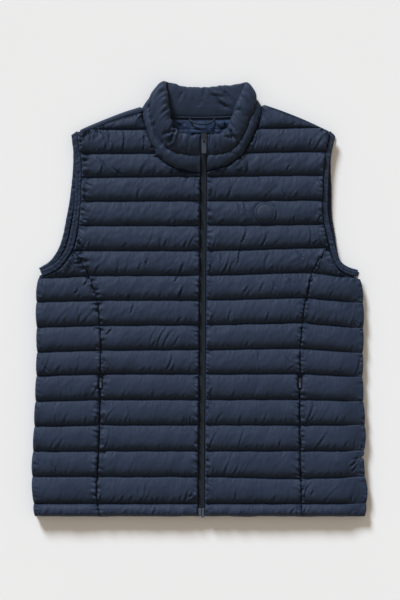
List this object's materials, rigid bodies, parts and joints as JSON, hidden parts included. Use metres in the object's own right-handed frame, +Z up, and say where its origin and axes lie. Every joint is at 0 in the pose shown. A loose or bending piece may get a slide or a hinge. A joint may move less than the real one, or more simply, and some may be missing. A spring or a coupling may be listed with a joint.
{
  "type": "quilted vest, laid flat",
  "caption": "Lightly padded quilted vest with a stand collar and full-length zip, laid flat on its back with the front up.",
  "frame": {"origin": "on the surface the vest lies on, under the middle of its outline", "axes": "+X to the wearer's left, +Y from the hem to the collar, +Z up from the surface"},
  "size_m": [0.5844, 0.7584, 0.0373],
  "materials": {
    "shell_cloth": "satin",
    "lining_cloth": "satin",
    "trim_cloth": "matte",
    "badge_rubber": "matte",
    "zip_tape": "matte",
    "zip_metal": "satin"
  },
  "bodies": {
    "root": {"back": "shell_cloth", "back_lining": "lining_cloth", "front_right": "shell_cloth", "front_left": "shell_cloth", "side_front_right": "shell_cloth", "side_front_left": "shell_cloth", "collar": "shell_cloth", "neck_tape": "trim_cloth", "hang_loop": "trim_cloth", "armhole_binding_front_right": "trim_cloth", "armhole_binding_front_left": "trim_cloth", "armhole_binding_back_right": "trim_cloth", "armhole_binding_back_left": "trim_cloth", "badge": "badge_rubber", "zip_tape_right": "zip_tape", "zip_tape_left": "zip_tape", "zip_slider": "zip_metal", "zip_box": "zip_metal", "zip_pin": "zip_metal", "pocket_tape_right": "zip_tape", "pocket_tape_left": "zip_tape", "pocket_slider_right": "zip_metal", "pocket_slider_left": "zip_metal"},
    "zip_tab": {"zip_pull": "zip_metal"},
    "pocket_tab_right": {"pocket_pull_right": "zip_metal"},
    "pocket_tab_left": {"pocket_pull_left": "zip_metal"}
  },
  "joints": [
    {"name": "zip_tab_hinge", "type": "hinge", "parent": "root", "child": "zip_tab", "pos_m": [0.00767, 0.27533, 0.03107], "axis": [-1, 0, 0], "range_deg": [0, 160]},
    {"name": "pocket_tab_hinge_right", "type": "hinge", "parent": "root", "child": "pocket_tab_right", "pos_m": [-0.17193, -0.1422, 0.01615], "axis": [-1, 0, 0], "range_deg": [0, 165]},
    {"name": "pocket_tab_hinge_left", "type": "hinge", "parent": "root", "child": "pocket_tab_left", "pos_m": [0.17443, -0.1422, 0.01615], "axis": [-1, 0, 0], "range_deg": [0, 165]}
  ]
}
